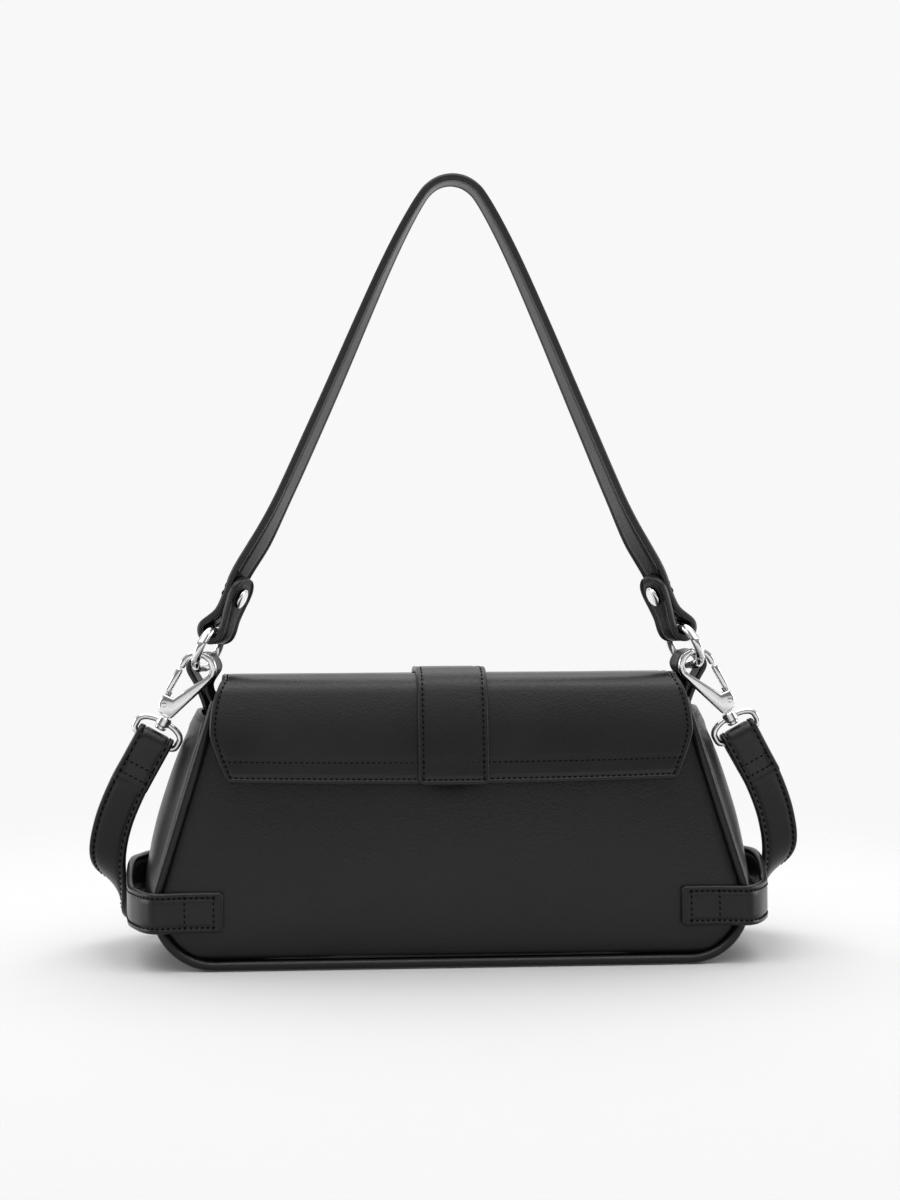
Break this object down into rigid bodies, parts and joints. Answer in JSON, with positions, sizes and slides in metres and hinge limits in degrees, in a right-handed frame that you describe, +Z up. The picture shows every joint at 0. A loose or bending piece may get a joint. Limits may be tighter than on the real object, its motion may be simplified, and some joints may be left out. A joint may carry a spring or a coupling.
{
  "type": "crossbody bag",
  "caption": "Small structured flap bag in black leather with an upright shoulder handle on gate rings, side keepers and a long crossbody strap on swivel snap hooks.",
  "frame": {"origin": "centre of the flat underside of the base", "axes": "+Z up, -Y out of the face that the flap falls over, +X to the right as seen from that face"},
  "size_m": [0.3362, 0.108, 0.361],
  "materials": {
    "leather": "smooth, fine grain, satin",
    "lining": "matt woven",
    "board": "matt",
    "chrome": "polished"
  },
  "bodies": {
    "bag": {"front_panel": "leather", "back_panel": "leather", "front_piping": "leather", "back_piping": "leather", "gusset_left": "leather", "gusset_right": "leather", "base_panel": "leather", "base_board": "board", "lining": "lining", "slip_pocket": "lining", "flap_root": "leather", "tab_root": "leather", "snap_socket": "chrome", "keeper_left": "leather", "keeper_right": "leather", "ring_loop_left": "leather", "ring_loop_right": "leather", "bail_left": "chrome", "bail_right": "chrome", "strap_left": "leather", "strap_right": "leather", "strap_folded": "leather"},
    "flap_top": {"flap_top": "leather", "flap_top_lining": "lining", "tab_top": "leather"},
    "flap_front": {"flap_front": "leather", "flap_front_lining": "lining", "tab_front": "leather", "snap_stud": "chrome"},
    "handle": {"handle_strap": "leather", "handle_rivet_left": "chrome", "handle_rivet_right": "chrome", "gate_ring_left": "chrome", "gate_ring_right": "chrome", "ring_pin_left": "chrome", "ring_pin_right": "chrome"},
    "left_ring_gate": {"ring_gate_left": "chrome"},
    "left_hook": {"hook_body_left": "chrome", "hook_pin_left": "chrome", "swivel_stud_left": "chrome"},
    "left_hook_gate": {"hook_gate_left": "chrome"},
    "right_ring_gate": {"ring_gate_right": "chrome"},
    "right_hook": {"hook_body_right": "chrome", "hook_pin_right": "chrome", "swivel_stud_right": "chrome"},
    "right_hook_gate": {"hook_gate_right": "chrome"}
  },
  "joints": [
    {"name": "flap_lift", "type": "hinge", "parent": "bag", "child": "flap_top", "pos_m": [0, 0.02772, 0.12185], "axis": [-1, 0, 0], "range_deg": [0, 16]},
    {"name": "flap_fold", "type": "hinge", "parent": "flap_top", "child": "flap_front", "pos_m": [0, -0.01392, 0.1358], "axis": [-1, 0, 0], "range_deg": [0, 110]},
    {"name": "handle_swing", "type": "hinge", "parent": "bag", "child": "handle", "pos_m": [0, 0, 0.1402], "axis": [-1, 0, 0], "range_deg": [0, 20]},
    {"name": "left_ring_gate_press", "type": "hinge", "parent": "handle", "child": "left_ring_gate", "pos_m": [-0.11711, -0.0085, 0.13789], "axis": [-0.8618, 0.342, 0.3747], "range_deg": [0, 12], "stiffness_Nm_per_rad": 0.02, "springref_deg": -11.46},
    {"name": "left_hook_swivel", "type": "hinge", "parent": "bag", "child": "left_hook", "pos_m": [-0.1288, -0.0041, 0.1166], "axis": [-0.4833, 0, -0.8755], "range_deg": [0, 6]},
    {"name": "left_hook_gate_press", "type": "hinge", "parent": "left_hook", "child": "left_hook_gate", "pos_m": [-0.13195, -0.0041, 0.11834], "axis": [0, 1, 0], "range_deg": [0, 11], "stiffness_Nm_per_rad": 0.02, "springref_deg": -11.46},
    {"name": "right_ring_gate_press", "type": "hinge", "parent": "handle", "child": "right_ring_gate", "pos_m": [0.11711, -0.0085, 0.13789], "axis": [-0.8618, -0.342, -0.3747], "range_deg": [0, 12], "stiffness_Nm_per_rad": 0.02, "springref_deg": -11.46},
    {"name": "right_hook_swivel", "type": "hinge", "parent": "bag", "child": "right_hook", "pos_m": [0.1288, -0.0041, 0.1166], "axis": [-0.4833, 0, 0.8755], "range_deg": [0, 6]},
    {"name": "right_hook_gate_press", "type": "hinge", "parent": "right_hook", "child": "right_hook_gate", "pos_m": [0.13195, -0.0041, 0.11834], "axis": [0, -1, 0], "range_deg": [0, 11], "stiffness_Nm_per_rad": 0.02, "springref_deg": -11.46}
  ]
}
